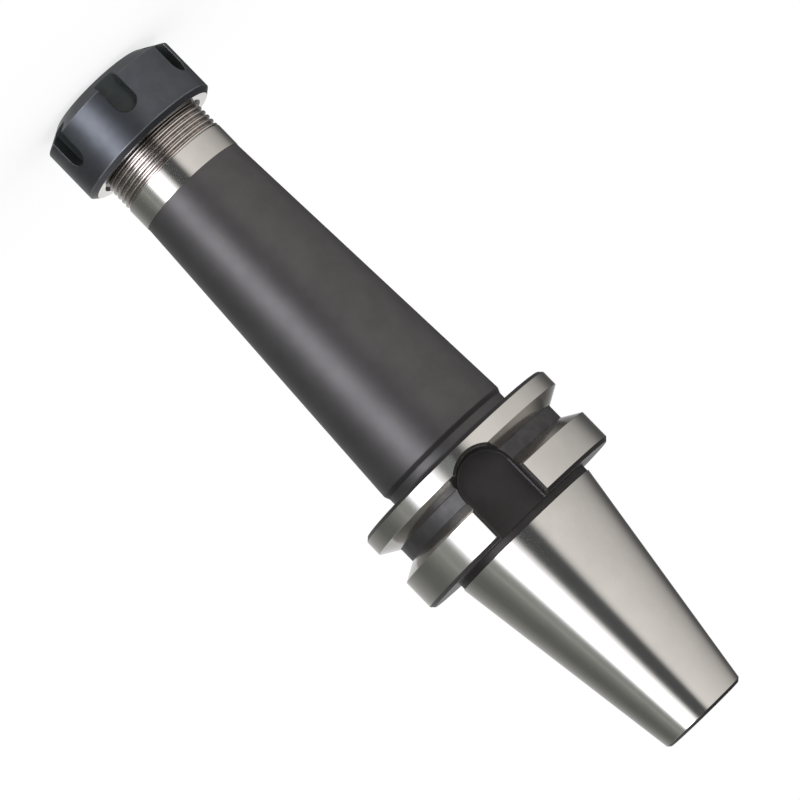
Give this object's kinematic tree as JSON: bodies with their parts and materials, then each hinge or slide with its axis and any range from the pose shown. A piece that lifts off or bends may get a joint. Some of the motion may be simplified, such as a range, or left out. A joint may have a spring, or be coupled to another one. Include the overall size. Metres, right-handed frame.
{
  "type": "collet chuck holder",
  "caption": "Size 40 steep-taper collet chuck holder with gripper flange, long slim sleeve, spring collet and slotted clamping nut.",
  "frame": {"origin": "centre of the clamping nut's front face, on the spindle axis", "axes": "+Z along the spindle axis from the nut to the taper's small end; -Y and +Y out of the two drive slots"},
  "size_m": [0.063, 0.063, 0.2241],
  "materials": {
    "ground_steel": "ground taper, flange and collar, with a satin black-oxide sleeve",
    "spring_steel": "fine ground",
    "black_oxide_steel": "smooth blue-black oxide"
  },
  "bodies": {
    "holder": {"holder_body": "ground_steel"},
    "collet": {"collet": "spring_steel"},
    "nut": {"clamping_nut": "black_oxide_steel"}
  },
  "joints": [
    {"name": "collet_travel", "type": "slide", "parent": "holder", "child": "collet", "axis": [0, 0, -1], "range_m": [0, 0.00975]},
    {"name": "nut_turn", "type": "hinge", "parent": "collet", "child": "nut", "pos_m": [0, 0, 0], "axis": [0, 0, -1], "range_deg": [0, 2340]}
  ],
  "couplings": [
    {"joint": "collet_travel", "follows": "nut_turn", "m_per_rad": 0.00023873}
  ]
}
